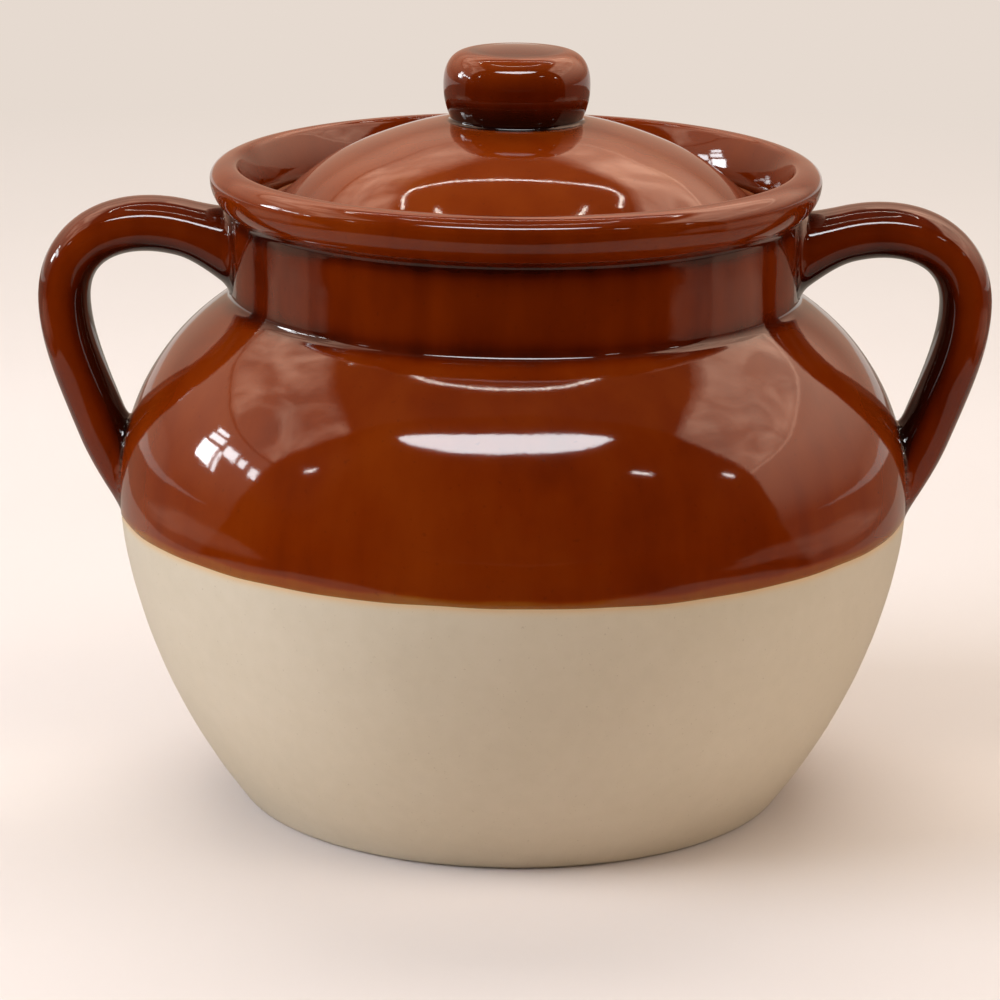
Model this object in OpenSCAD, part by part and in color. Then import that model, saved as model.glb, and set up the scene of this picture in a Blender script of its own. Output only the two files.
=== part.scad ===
// Two-handled stoneware bean pot with a loose lid that sits inside a flared rim.
// Millimetres. +Z is up, the origin is on the pot's axis in the plane that it stands on,
// and the handles lie along X. Every wall is a half outline turned about Z, and its
// points are written [radius, height].

/* [Body] */
// Greatest outer radius of the body
body_r = 95.5; // [90:0.5:102]
// Height of the greatest radius above the table
belly_z = 75.5; // [74:0.5:78]
// Thickness of the thrown wall
wall = 6; // [5:0.25:7]
// Thickness of the floor
floor_t = 8; // [6:0.5:10]
// Radius of the curve from the belly up to the neck
shoulder_arc = 54; // [52:0.5:56]
// Radius of the curve just below the belly
belly_arc = 78; // [70:1:90]
// Angle over which the belly curve runs before the straighter taper
belly_angle = 12; // [10:0.5:14]
// Radius of the long curve from the belly down to the foot
taper_arc = 144; // [130:1:160]
// Rounding of the outer edge of the foot
foot_round = 3; // [2:0.5:4]
// Rounding between floor and wall inside
floor_round = 10; // [6:1:14]
// Radius of the shallow recess under the foot
recess_r = 54; // [45:1:57]
// Depth of that recess
recess_t = 1.2; // [0.5:0.1:2]

/* [Glaze] */
// Height where the brown glaze ends and the cream glaze starts
glaze_z = 72.5; // [68:0.5:74]

/* [Neck and rim] */
// Outer radius of the neck
neck_r = 68; // [66:0.5:69]
// Hollow rounding between shoulder and neck
neck_fillet = 3; // [2:0.5:4]
// Greatest outer radius of the rim
rim_r = 73; // [72:0.25:74]
// Height of the rim's greatest radius
rim_z = 151.4; // [151:0.1:152]
// Radius of the rim's bulge below its greatest radius
rim_arc = 8.5; // [8:0.25:9]
// Rounding of the groove under the rim
groove_round = 1.5; // [1:0.25:2]
// Height of the top of the rim
rim_top = 155; // [154.5:0.1:156]
// Radius of the top of the rim
crest_r = 66.5; // [66:0.25:67]
// Inner radius of the flared mouth just below the rim's top
mouth_r = 63.6; // [63.3:0.1:64]

/* [Lid seat] */
// Height of the ledge that the lid rests on
seat_z = 141; // [140:0.25:142]
// Inner radius of the mouth at the ledge
seat_r = 62.8; // [62.6:0.1:63.2]
// Inner radius of the ledge
throat_r = 54; // [53.5:0.5:55]
// Thickness of the ledge at its inner edge
ledge_t = 4.5; // [4:0.25:6]

/* [Lid] */
// Radius of the lid's outer edge
lid_r = 61.3; // [60.8:0.1:61.6]
// Thickness of the lid's flat edge
brim_t = 3.6; // [3:0.2:4]
// Radius where the dome rises from the flat edge
dome_r = 57.5; // [56:0.25:58]
// Radius of the sphere that the dome is part of
dome_arc = 83.6; // [80:0.2:90]
// Height of the sphere's top above the ledge
dome_rise = 26.7; // [26:0.1:28]
// Radius of the sphere of the lid's hollow underside
hollow_arc = 76; // [72:1:80]
// Height of the hollow's top above the ledge
hollow_rise = 19.3; // [18:0.1:20]
// Outer radius of the ring under the lid that keeps it central
ring_r = 52.3; // [51:0.1:52.5]
// Thickness of that ring
ring_t = 4; // [3:0.25:5]
// How far the ring reaches below the ledge
ring_drop = 6; // [4:0.5:8]

/* [Knob] */
// Radius of the knob where it stands on the lid
knob_foot_r = 15.6; // [14:0.1:16]
// Greatest radius of the knob
knob_r = 17.5; // [17:0.1:18.5]
// Radius of the knob's nearly flat top
knob_top_r = 10.5; // [9:0.5:11.5]
// Height of the knob
knob_h = 16.2; // [15:0.1:18]
// Height of the knob's greatest radius above its foot
knob_belly_h = 8.6; // [8:0.1:9.4]
// How far the top swells in the middle
knob_crown = 0.6; // [0.3:0.1:1]

/* [Handles] */
// Distance across both handles
handle_span = 229.4; // [224:0.2:232]
// Thickness of the strap on its upper run
handle_t = 13.4; // [11:0.2:14]
// Width of the strap on its free run
handle_w = 18; // [15:0.5:20]
// Height of the middle of the strap where it is farthest out
handle_out_z = 120.5; // [118:0.5:123]
// Height of the middle of the upper root in the neck
handle_root_z = 131.5; // [130:0.5:133]
// Height of the lower tip
handle_tip_z = 69; // [68:0.5:71]
// Extra thickness of the upper root
root_swell = 9; // [6:0.5:10]
// Extra width of the upper root
root_spread = 5; // [3:0.5:7]
// Thickness of the lower tip
tip_t = 4.4; // [3.5:0.1:5]

/* [Hidden] */

brown_glaze = [0.44, 0.15, 0.04];
cream_glaze = [0.87, 0.82, 0.71];

edge_round = 1;         // small rounding of the ledge's inner edge
seat_round = 1.5;       // rounding where the mouth meets the ledge
ledge_slope = 7.5;      // height over which the ledge's underside runs back to the neck
mouth_drop = 4;         // height of the rounding from the rim's top into the mouth
arc_step = 3;           // degrees of turn between two points of an arc
smooth = 144;           // sides of a full turn

// Centres of the body's curves
belly_c = [body_r - belly_arc, belly_z];
taper_c = belly_c - (taper_arc - belly_arc) * [cos(belly_angle), -sin(belly_angle)];
shoulder_c = [body_r - shoulder_arc, belly_z];

// The hollow rounding between shoulder and neck, tangent to both
neck_turn = acos((neck_r + neck_fillet - shoulder_c[0]) / (shoulder_arc + neck_fillet));
neck_c = shoulder_c + (shoulder_arc + neck_fillet) * [cos(neck_turn), sin(neck_turn)];

// The rim's bulge and the groove below it, tangent to each other and to the neck
rim_c = [rim_r - rim_arc, rim_z];
rim_turn = acos((neck_r + groove_round - rim_c[0]) / (rim_arc + groove_round));
groove_c = rim_c + (rim_arc + groove_round) * [cos(rim_turn), -sin(rim_turn)];

// Where the long taper meets the rounding of the foot, and of the floor inside
foot_turn = asin((taper_c[1] - foot_round) / (taper_arc - foot_round));
foot_c = taper_c + (taper_arc - foot_round) * [cos(foot_turn), -sin(foot_turn)];
floor_turn = asin((taper_c[1] - floor_t - floor_round) / (taper_arc - wall - floor_round));
floor_c = taper_c + (taper_arc - wall - floor_round) * [cos(floor_turn), -sin(floor_turn)];

// The dome's sphere, cut flat where the knob stands
dome_c = [0, seat_z + dome_rise - dome_arc];
dome_turn = acos(dome_r / dome_arc);
knob_turn = acos((knob_foot_r + 1) / dome_arc);
knob_z = dome_c[1] + dome_arc * sin(knob_turn);
hollow_c = [0, seat_z + hollow_rise - hollow_arc];
hollow_turn = acos((ring_r - ring_t) / hollow_arc);

// The strap's middle line runs through two curves that join where it is farthest out
run_share = 0.93;       // thickness of the strap at its farthest point, as a share of handle_t
root_x = neck_r - 3.2;
out_x = handle_span / 2 - run_share * handle_t / 2;
tip_x = body_r - 2.3;
upper_curve = [
    [root_x, handle_root_z],
    [root_x + 19, handle_root_z + 13],
    [out_x + 0.3, handle_out_z + 20.5],
    [out_x, handle_out_z]
];
lower_curve = [
    [out_x, handle_out_z],
    [out_x - 0.2, handle_out_z - 14.5],
    [body_r + 3, handle_tip_z + 21],
    [tip_x, handle_tip_z]
];
swell_end = 0.125;      // share of the strap over which the upper root swells
taper_start = 0.82;     // share of the strap where the lower tip starts to thin
turn_end = 0.12;        // share over which the sections turn from upright to square
strap_rings = 44;
strap_sides = 20;

// Points of an arc about c from angle a to angle b
function arc(c, r, a, b) =
    let (n = max(2, ceil(abs(b - a) / arc_step)))
    [for (i = [0 : n]) c + r * [cos(a + (b - a) * i / n), sin(a + (b - a) * i / n)]];

// Points of a quarter of an ellipse about c, from angle a to angle b
function oval(c, half_w, half_h, a, b, n = 8) =
    [for (i = [0 : n])
        c + [half_w * cos(a + (b - a) * i / n), half_h * sin(a + (b - a) * i / n)]];

// Angle on the belly's curve, inset by d, at which it crosses the glaze line
function glaze_turn(d) = asin((belly_z - glaze_z) / (belly_arc - d));

// The wall's curve from the foot or the floor up to the glaze line, inset by d
function lower_side(d, start) = concat(
    arc(taper_c, taper_arc - d, -start, -belly_angle),
    arc(belly_c, belly_arc - d, -belly_angle, -glaze_turn(d))
);

// The wall's curve from the glaze line up over the shoulder to the neck, inset by d
function upper_side(d) = concat(
    arc(belly_c, belly_arc - d, -glaze_turn(d), 0),
    arc(shoulder_c, shoulder_arc - d, 0, neck_turn),
    arc(neck_c, neck_fillet + d, 180 + neck_turn, 180)
);

function reversed(list) = [for (i = [len(list) - 1 : -1 : 0]) list[i]];

// A smooth step from 0 to 1
function ease(x) =
    let (t = min(1, max(0, x)))
    t * t * (3 - 2 * t);

// A point, and the direction of travel, on a curve drawn by four points
function on_curve(p, t) =
    (1 - t) ^ 3 * p[0] + 3 * (1 - t) ^ 2 * t * p[1] + 3 * (1 - t) * t ^ 2 * p[2] + t ^ 3 * p[3];
function along_curve(p, t) =
    (1 - t) ^ 2 * (p[1] - p[0]) + 2 * (1 - t) * t * (p[2] - p[1]) + t ^ 2 * (p[3] - p[2]);

// The strap at s, where 0 is the upper root, 0.5 the farthest point and 1 the lower tip
function strap_mid(s) =
    s < 0.5 ? on_curve(upper_curve, 2 * s) : on_curve(lower_curve, 2 * s - 1);
function strap_way(s) =
    let (v = s < 0.5 ? along_curve(upper_curve, 2 * s) : along_curve(lower_curve, 2 * s - 1))
    atan2(v[1], v[0]) * ease(s / turn_end);
function root_part(s) = max(0, 1 - s / swell_end) ^ 2;
function strap_t(s) =
    let (thin = max(0, (s - taper_start) / (1 - taper_start)) ^ 2)
    handle_t * (1 - (1 - run_share) * ease(2 * s)) + root_swell * root_part(s)
        - (handle_t * run_share - tip_t) * thin;
function strap_w(s) = handle_w - 2 * ease(2 * s - 1) + root_spread * root_part(s);

// One oval section of the strap
function strap_ring(s) =
    let (c = strap_mid(s), a = strap_way(s) + 90, t = strap_t(s) / 2, w = strap_w(s) / 2)
    [for (j = [0 : strap_sides - 1])
        let (u = 360 * j / strap_sides)
        [c[0] + t * cos(u) * cos(a), w * sin(u), c[1] + t * cos(u) * sin(a)]];

module lower_wall() {
    color(cream_glaze)
        rotate_extrude($fn = smooth)
            polygon(concat(
                [[0, recess_t], [recess_r, recess_t], [recess_r + recess_t, 0]],
                arc(foot_c, foot_round, -90, -foot_turn),
                lower_side(0, foot_turn),
                reversed(lower_side(wall, floor_turn)),
                reversed(arc(floor_c, floor_round, -90, -floor_turn)),
                [[0, floor_t]]
            ));
}

module upper_wall() {
    color(brown_glaze)
        rotate_extrude($fn = smooth)
            polygon(concat(
                upper_side(0),
                arc(groove_c, groove_round, 180, 180 - rim_turn),
                arc(rim_c, rim_arc, -rim_turn, 0),
                oval([crest_r, rim_z], rim_r - crest_r, rim_top - rim_z, 0, 90),
                oval([crest_r, rim_top - mouth_drop], crest_r - mouth_r, mouth_drop, 90, 180),
                arc([seat_r - seat_round, seat_z + seat_round], seat_round, 0, -90),
                arc([throat_r + edge_round, seat_z - edge_round], edge_round, 90, 180),
                [[throat_r, seat_z - ledge_t]],
                [[neck_r - wall, seat_z - ledge_t - ledge_slope]],
                reversed(upper_side(wall))
            ));
}

// The strap on the +X side
module handle_strap() {
    rings = [for (i = [0 : strap_rings]) strap_ring(i / strap_rings)];
    last = strap_rings * strap_sides;
    polyhedron(
        points = [for (ring = rings) for (p = ring) p],
        faces = concat(
            [[for (j = [0 : strap_sides - 1]) j]],
            [for (i = [0 : strap_rings - 1]) for (j = [0 : strap_sides - 1])
                let (k = (j + 1) % strap_sides, a = i * strap_sides, b = a + strap_sides)
                [a + j, b + j, b + k, a + k]],
            [[for (j = [strap_sides - 1 : -1 : 0]) last + j]]
        )
    );
}

module left_handle() {
    color(brown_glaze) rotate([0, 0, 180]) handle_strap();
}

module right_handle() {
    color(brown_glaze) handle_strap();
}

module lid() {
    color(brown_glaze)
        rotate_extrude($fn = smooth)
            polygon(concat(
                [[0, knob_z]],
                arc(dome_c, dome_arc, knob_turn, dome_turn),
                oval([lid_r - brim_t / 2, seat_z + brim_t / 2], brim_t / 2, brim_t / 2, 90, -90),
                [[ring_r, seat_z]],
                oval([ring_r - ring_t / 2, seat_z - ring_drop + ring_t / 2],
                    ring_t / 2, ring_t / 2, 0, -180),
                arc(hollow_c, hollow_arc, hollow_turn, 90)
            ));
}

module lid_knob() {
    color(brown_glaze)
        translate([0, 0, knob_z])
            rotate_extrude($fn = smooth)
                polygon(concat(
                    [[0, 0]],
                    oval([knob_foot_r, knob_belly_h], knob_r - knob_foot_r, knob_belly_h, -90, 0),
                    oval([knob_top_r, knob_belly_h], knob_r - knob_top_r,
                        knob_h - knob_crown - knob_belly_h, 0, 90, 12),
                    [for (i = [4 : -1 : 0])
                        [knob_top_r * i / 5, knob_h - knob_crown * (i / 5) ^ 2]]
                ));
}

lower_wall();
upper_wall();
left_handle();
right_handle();
lid();
lid_knob();
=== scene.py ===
# %% [markdown]
# # A stoneware bean pot
#
# This notebook dresses a small engineering model of a lidded pot, called the frame here, so that it
# looks like fired clay under glossy glaze. The frame holds the sizes. All that shows is built from
# formulas with numpy, and the frame's two bodies, pot and lid, carry it.

# %% Load the frame
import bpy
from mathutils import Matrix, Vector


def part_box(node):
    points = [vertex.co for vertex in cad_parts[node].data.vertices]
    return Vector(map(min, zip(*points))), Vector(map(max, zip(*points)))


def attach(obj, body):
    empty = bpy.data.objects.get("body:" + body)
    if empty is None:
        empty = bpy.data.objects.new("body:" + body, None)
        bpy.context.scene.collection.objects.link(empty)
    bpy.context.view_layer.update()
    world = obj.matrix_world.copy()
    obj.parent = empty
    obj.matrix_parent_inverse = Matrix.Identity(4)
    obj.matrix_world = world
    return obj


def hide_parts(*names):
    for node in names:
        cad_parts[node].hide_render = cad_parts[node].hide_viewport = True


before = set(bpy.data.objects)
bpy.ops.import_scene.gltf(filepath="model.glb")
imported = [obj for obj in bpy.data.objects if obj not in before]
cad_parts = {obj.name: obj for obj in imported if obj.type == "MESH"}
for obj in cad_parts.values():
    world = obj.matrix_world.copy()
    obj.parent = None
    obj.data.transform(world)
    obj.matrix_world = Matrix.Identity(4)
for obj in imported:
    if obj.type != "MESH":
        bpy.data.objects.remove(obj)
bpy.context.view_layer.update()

# %% [markdown]
# ## Sizes and helpers
#
# A potter thinks in outlines, so every profile below is a list of points [radius, height] in
# millimetres, joined from arcs. It could be drawn as a curve and spun with the Screw modifier, but
# an array can be asked questions later, such as how hollow the outline is, which decides where the
# glaze runs thick.

# %% Units and sizes read from the frame
import bpy
import numpy as np
from mathutils import Matrix, Vector

MM = 0.001

def corner(node, axis):
    """The highest coordinate of a frame node along an axis, in millimetres."""
    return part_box(node)[1]["XYZ".index(axis)] / MM

body_r = corner("upper_wall", "Y")
glaze_z = corner("lower_wall", "Z")
rim_top = corner("upper_wall", "Z")
lid_r = corner("lid", "Y")
lid_flat_z = corner("lid", "Z")
knob_r = corner("lid_knob", "Y")
knob_top = corner("lid_knob", "Z")
reach = corner("right_handle", "X")
print("body", body_r, "glaze line", glaze_z, "rim", rim_top, "knob top", knob_top, "reach", reach)

# %% Arcs, ovals and joining them
def arc(centre, radius, start, end, spacing):
    """Points of a circle's arc, centre + radius * (cos a, sin a), a from start to end degrees."""
    steps = max(3, int(abs(np.radians(end - start)) * radius / spacing) + 1)
    a = np.radians(np.linspace(start, end, steps))
    return np.array(centre) + radius * np.stack([np.cos(a), np.sin(a)], 1)

def oval(centre, half_w, half_h, start, end, steps):
    """Points of an ellipse's arc, centre + (half_w * cos a, half_h * sin a)."""
    a = np.radians(np.linspace(start, end, steps))
    return np.array(centre) + np.stack([half_w * np.cos(a), half_h * np.sin(a)], 1)

def run(start, end, spacing=1.0):
    """Points of a straight run from start to end, evenly spaced."""
    start, end = np.array(start, float), np.array(end, float)
    steps = max(2, int(np.hypot(*(end - start)) / spacing) + 1)
    return start + np.linspace(0, 1, steps)[:, None] * (end - start)

def joined(*parts):
    """One outline from several, with points that repeat at the joins dropped."""
    line = np.concatenate([np.atleast_2d(part) for part in parts])
    apart = np.hypot(*np.diff(line, axis=0).T) > 1e-4
    return line[np.concatenate([[True], apart])]

def lengths(line):
    """How far along a line each of its points lies."""
    return np.concatenate([[0], np.cumsum(np.linalg.norm(np.diff(line, axis=0), axis=1))])

def around(count):
    """Angles of points spread evenly round a circle, from 0."""
    return np.linspace(0, 2 * np.pi, count, endpoint=False)

def ease(x):
    """A smooth step: 0 below 0, 1 above 1, and 3x^2 - 2x^3 between."""
    t = np.clip(x, 0, 1)
    return t * t * (3 - 2 * t)

# %% [markdown]
# ## From points to a mesh
#
# Every piece is a grid of points: rows along an outline, columns round the axis or round a strap.
# It could be built face by face with bmesh, but foreach_set takes whole arrays and is quick. Each
# mesh also carries one number per point, called pool, for how thick the glaze lies there:
# -1 where it runs thin, 1 where it pools. On the neck, below the knob's belly and on the handles'
# inner side it also holds painted shade, which darkens the glaze.

# %% Build a mesh from arrays
def add_mesh(name, points, quads, tris=(), pool=0.0, parts=0, crease=35):
    """A mesh object from points in millimetres and faces that list their corners anticlockwise."""
    quads = np.asarray(quads, np.int32).reshape(-1, 4)
    tris = np.asarray(tris, np.int32).reshape(-1, 3)
    corners = np.concatenate([quads.ravel(), tris.ravel()])
    sizes = np.concatenate([np.full(len(quads), 4), np.full(len(tris), 3)])
    starts = np.concatenate([[0], np.cumsum(sizes)[:-1]]).astype(np.int32)
    mesh = bpy.data.meshes.new(name)
    mesh.vertices.add(len(points))
    mesh.vertices.foreach_set("co", (np.asarray(points) * MM).astype(np.float32).ravel())
    mesh.loops.add(len(corners))
    mesh.loops.foreach_set("vertex_index", corners)
    mesh.polygons.add(len(sizes))
    mesh.polygons.foreach_set("loop_start", starts)
    mesh.polygons.foreach_set("material_index", np.full(len(sizes), parts, np.int32))
    mesh.update(calc_edges=True)
    mesh.validate()
    mesh.polygons.foreach_set("use_smooth", np.ones(len(sizes), bool))
    mesh.set_sharp_from_angle(angle=np.radians(crease))
    depth = mesh.attributes.new("pool", "FLOAT", "POINT")
    depth.data.foreach_set("value", np.full(len(points), pool, np.float32))
    piece = bpy.data.objects.new(name, mesh)
    bpy.context.collection.objects.link(piece)
    print(name, len(points), "points", len(sizes), "faces")
    return piece

def grid_faces(rows, columns, wrap_rows=False, wrap_columns=True):
    """Quads of a grid of points numbered row by row, joined end to end where it wraps."""
    i = np.arange(rows if wrap_rows else rows - 1)[:, None]
    j = np.arange(columns if wrap_columns else columns - 1)[None, :]
    up, along = (i + 1) % rows, (j + 1) % columns
    a, b = i * columns + j, i * columns + along
    c, d = up * columns + along, up * columns + j
    return np.stack([a, b, c, d], -1).reshape(-1, 4)

def fan(centre, ring, flip=False):
    """Triangles that close a ring of points with one point in its middle."""
    after = np.roll(ring, -1)
    order = (after, ring) if flip else (ring, after)
    return np.stack([np.full(len(ring), centre), *order], 1)

def tube_faces(rows, columns, flip=False):
    """Quads of a tube of rings, and triangles that close it with two points numbered last."""
    count, ring = rows * columns, np.arange(columns)
    ends = fan(count, ring, not flip), fan(count + 1, ring + count - columns, flip)
    quads = grid_faces(rows, columns)
    return quads[:, ::-1] if flip else quads, np.concatenate(ends)

# %% [markdown]
# ## How thick the glaze lies
#
# Molten glaze runs off outward edges and gathers in hollows, so a brown glaze is amber on a rim and
# almost black in a groove. It could be painted by hand, but the outline says it too: it turns left
# on an outward edge and right in a hollow. The turn is blurred over a few millimetres.

# %% Measure the bend of an outline
def bend(line, blur=1.6, closed=False):
    """How hollow an outline is at each point: minus its turn in radians per millimetre, blurred
    by a bell curve of width `blur` along its length, times 3.2, and cut off at -1 and 1."""
    after = np.roll(line, -1, 0) if closed else np.concatenate([line[1:], line[-1:]])
    ahead = after - line
    behind = np.roll(ahead, 1, 0)
    cross = behind[:, 0] * ahead[:, 1] - behind[:, 1] * ahead[:, 0]
    turn = np.arctan2(cross, (behind * ahead).sum(1))
    length = lengths(line)
    near = np.exp(-0.5 * ((length[:, None] - length) / blur) ** 2)
    per_mm = near @ turn / (blur * np.sqrt(2 * np.pi))
    return np.clip(-per_mm * 3.2, -1, 1)

# %% [markdown]
# ## The wall's outline
#
# The pot is one thrown piece: a round belly, a hollow where the shoulder meets the neck, and a rim
# that rolls outward. The outline could be traced as a spline, but a potter's curves are nearly
# arcs, and arcs that meet smoothly give clean reflections in a glossy glaze.

# %% Values of the wall
wall = 6.0            # thickness of the clay
shoulder_arc = 54.0   # curve from the belly to the neck
belly_arc = 78.0      # curve just below the belly
taper_arc = 144.0     # long curve down to the foot
belly_angle = 12.0    # degrees over which the belly curve runs
belly_z = 75.5        # height of the greatest radius
neck_r, neck_fillet = 68.0, 3.0
rim_r, rim_z, rim_arc, groove_round = 73.0, 151.4, 8.5, 2.2
crest_r, crest_round, lip_turn, flare_power = 68.0, 2.0, 152.0, 1.8
seat_z, seat_r, throat_r, ledge_t = 141.0, 62.8, 54.0, 4.5
seat_round, throat_round, throat_slope = 1.5, 1.0, 7.5
floor_t, floor_round, foot_round = 8.0, 10.0, 3.0
recess_r, recess_t = 54.0, 1.2

def from_centre(centre, distance, angle):
    """The point at a distance and an angle in degrees from another."""
    a = np.radians(angle)
    return np.array(centre) + distance * np.array([np.cos(a), np.sin(a)])

def angle_at(centre, distance, radius):
    """The angle in degrees at which a point `distance` from a centre lies at a radius."""
    return np.degrees(np.arccos((radius - centre[0]) / distance))

belly_c = np.array([body_r - belly_arc, belly_z])
taper_c = from_centre(belly_c, belly_arc - taper_arc, -belly_angle)
shoulder_c = np.array([body_r - shoulder_arc, belly_z])
neck_turn = angle_at(shoulder_c, shoulder_arc + neck_fillet, neck_r + neck_fillet)
neck_c = from_centre(shoulder_c, shoulder_arc + neck_fillet, neck_turn)
rim_c = np.array([rim_r - rim_arc, rim_z])
rim_turn = angle_at(rim_c, rim_arc + groove_round, neck_r + groove_round)
groove_c = from_centre(rim_c, rim_arc + groove_round, -rim_turn)

def bottom_round(inset, radius, z):
    """Angle and centre of a rounding that touches the taper's inset side and ends at height z."""
    distance = taper_arc - inset - radius
    turn = np.degrees(np.arcsin((taper_c[1] - z - radius) / distance))
    return turn, from_centre(taper_c, distance, -turn)

foot_turn, foot_c = bottom_round(0, foot_round, 0)
floor_turn, floor_c = bottom_round(wall, floor_round, floor_t)

# %% Outer and inner sides of the wall
def lower_side(inset, start):
    """The wall from the foot or the floor up to the belly, inset from the outside."""
    return joined(arc(taper_c, taper_arc - inset, -start, -belly_angle, 1.4),
                  arc(belly_c, belly_arc - inset, -belly_angle, 0, 0.7))

def upper_side(inset):
    """The wall from the belly over the shoulder to the neck, inset from the outside."""
    return joined(arc(shoulder_c, shoulder_arc - inset, 0, neck_turn, 0.8),
                  arc(neck_c, neck_fillet + inset, 180 + neck_turn, 180, 0.3))

outside = joined(arc(foot_c, foot_round, -90, -foot_turn, 0.4),
                 lower_side(0, foot_turn), upper_side(0),
                 run([neck_r, neck_c[1]], groove_c - [groove_round, 0]),
                 arc(groove_c, groove_round, 180, 180 - rim_turn, 0.25),
                 arc(rim_c, rim_arc, -rim_turn, 0, 0.4),
                 oval([crest_r, rim_z], rim_r - crest_r, rim_top - rim_z, 0, 90, 24))
lip = arc([crest_r, rim_top - crest_round], crest_round, 90, lip_turn, 0.3)
flare_z = np.linspace(lip[-1, 1], seat_z + seat_round, 16)
flare_share = (flare_z - flare_z[-1]) / (flare_z[0] - flare_z[-1])
flare = np.stack([seat_r + (lip[-1, 0] - seat_r) * flare_share ** flare_power, flare_z], 1)
inside = joined(lip, flare,
                arc([seat_r - seat_round, seat_z + seat_round], seat_round, 0, -90, 0.3),
                run([seat_r - seat_round, seat_z], [throat_r + throat_round, seat_z]),
                arc([throat_r + throat_round, seat_z - throat_round], throat_round, 90, 180, 0.3),
                run([throat_r, seat_z - throat_round], [throat_r, seat_z - ledge_t]),
                run([throat_r, seat_z - ledge_t], [neck_r - wall, seat_z - ledge_t - throat_slope]),
                upper_side(wall)[::-1], lower_side(wall, floor_turn)[::-1],
                arc(floor_c, floor_round, -90, -floor_turn, 0.8)[::-1])
print("outline:", len(outside), "points outside,", len(inside), "inside")

# %% [markdown]
# ## The glaze line
#
# The pot is dipped upside down in brown glaze, so its edge is nearly level: a little tilted and
# wandering, with a dip where a handle's lower root holds extra glaze. The brown layer stands a
# little proud and ends in a soft bead. A mask could colour one mesh, but only an edge in the mesh
# catches light. Both pieces of the wall use the same line, so no gap opens between them.

# %% The line, and the skin of glaze
proud = 0.12          # how far the brown glaze stands out from the cream
root_dip = 5.2        # how far the line dips below a handle
root_spread = 0.125   # half width of that dip, in radians
follow = 18.0         # how far above and below the line the rows of points follow it

def line_height(turn):
    """Height of the glaze line at an angle: level, a sag at the front, a tilt, slow waves, and a
    dip below each handle, shaped as a bell."""
    sag = -0.35 - 0.5 * np.exp(2.5 * (-np.sin(turn) - 1))
    slow = sag + 0.30 * np.cos(turn + 0.3) + 0.22 * np.sin(3 * turn + 1.1)
    slow = slow + 0.13 * np.sin(7 * turn + 0.4)
    fine = 0.06 * np.sin(17 * turn) + 0.05 * np.sin(29 * turn + 2.0)
    sideways = np.abs(np.abs(np.angle(np.exp(1j * turn))) - np.pi / 2)
    dip = root_dip * np.exp(-((np.pi / 2 - sideways) / root_spread) ** 2)
    return glaze_z + slow + fine - dip

def radius_at(height):
    """Outer radius of the wall at a height below the neck, read off the outline."""
    low = outside[:, 1] < neck_c[1]
    return np.interp(height, outside[low, 1], outside[low, 0])

def radius_inside(height):
    """Inner radius of the wall at a height below the shoulder, read off the outline."""
    low = inside[::-1][inside[::-1, 1] < 120]
    return np.interp(height, low[:, 1], low[:, 0])

def hand_made(turn, height):
    """How far the surface dips inward, in millimetres: faint throwing rings and a slow wobble."""
    rings = 0.016 * (1 + np.sin(height * 0.55 + 0.8 * np.sin(turn)))
    wobble = 0.030 * (1 + np.sin(3 * turn + height * 0.045) * np.sin(height * 0.11 + turn + 0.7))
    return rings + wobble

# %% [markdown]
# ## Turning an outline into a wall
#
# A turned surface has two parameters: the row along the outline and the angle round the axis. The
# Screw modifier does this too, but here the rows near the glaze line slide up and down with it, and
# the radius takes the hand-made wobble.

# %% The turned surface
columns = 256         # points round the axis
turns = around(columns)

def turned_points(radius, height, t=turns):
    """Points (radius * cos t, radius * sin t, height) for arrays of rows by columns."""
    height = np.broadcast_to(height, radius.shape)
    return np.stack([radius * np.cos(t), radius * np.sin(t), height], -1)

def wall_rows(line, outer, near):
    """Radius and height of each point of a wall. Outer rows near the glaze line slide up and down
    with it, those marked near keep to the outline, and the hand-made dips are taken off."""
    radius, height = (np.repeat(line[:, [k]], columns, 1) for k in (0, 1))
    fade = np.where(outer, 1 - ease(np.abs(height - glaze_z) / follow), 0)
    height = height + (line_height(turns) - glaze_z) * fade
    radius[near] = radius_at(height[near])
    return radius - np.where(outer, hand_made(turns, height), 0), height

def closed_piece(name, points, ends, pool, kind):
    """Turned rows of points, closed by a fan round one point on the axis at each end. `ends` holds
    the height and the pool of those two, and `kind` the material of each row of faces."""
    rows, sides = points.shape[:2]
    quads, tris = tube_faces(rows, sides)
    points = np.concatenate([points.reshape(-1, 3), [[0, 0, z] for z, _ in ends]])
    pool = np.concatenate([np.broadcast_to(pool, (rows, sides)).ravel(), [p for _, p in ends]])
    parts = np.concatenate([kind[quads[:, 0] // sides], np.repeat(kind[[0, -1]], sides)])
    return add_mesh(name, points, quads, tris, pool, parts)

def root_pool(points):
    """Glaze that gathers round each handle's roots: a bell of 0.6 at the crease, gone in 5 mm."""
    x, y, z = np.abs(points[..., 0]), points[..., 1], points[..., 2]
    upper = np.exp(-((np.hypot(y / 1.1, z - 131.5) - 10.5) / 2.6) ** 2) * (x > 55)
    lower = np.exp(-((np.abs(y) - 9.5) / 2.4) ** 2) * ease((96 - z) / 6) * ease((z - 66) / 5)
    return np.maximum(upper, lower * (x > 80)) * 0.6

def neck_pool_and_shade(height):
    """Darker glaze under the rim: glaze that runs off the rim, and painted shade under its
    overhang.
    A smooth step up on the neck, and a bell at the groove.
    """
    step = ease((height - 121) / 6) * (1 - ease((height - 141) / 8))
    return 0.22 * step + 0.22 * np.exp(-((height - 142.2) / 1.4) ** 2)

# %% [markdown]
# ## The upper wall: shoulder, neck and rim
#
# This piece starts at the glaze line, climbs over the shoulder and the rim, and returns down the
# inside. Its outline closes on itself, so the mesh is a ring with no open edge. Over the first half
# millimetre its outer skin swells out from the cream, which makes the bead of glaze.

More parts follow.
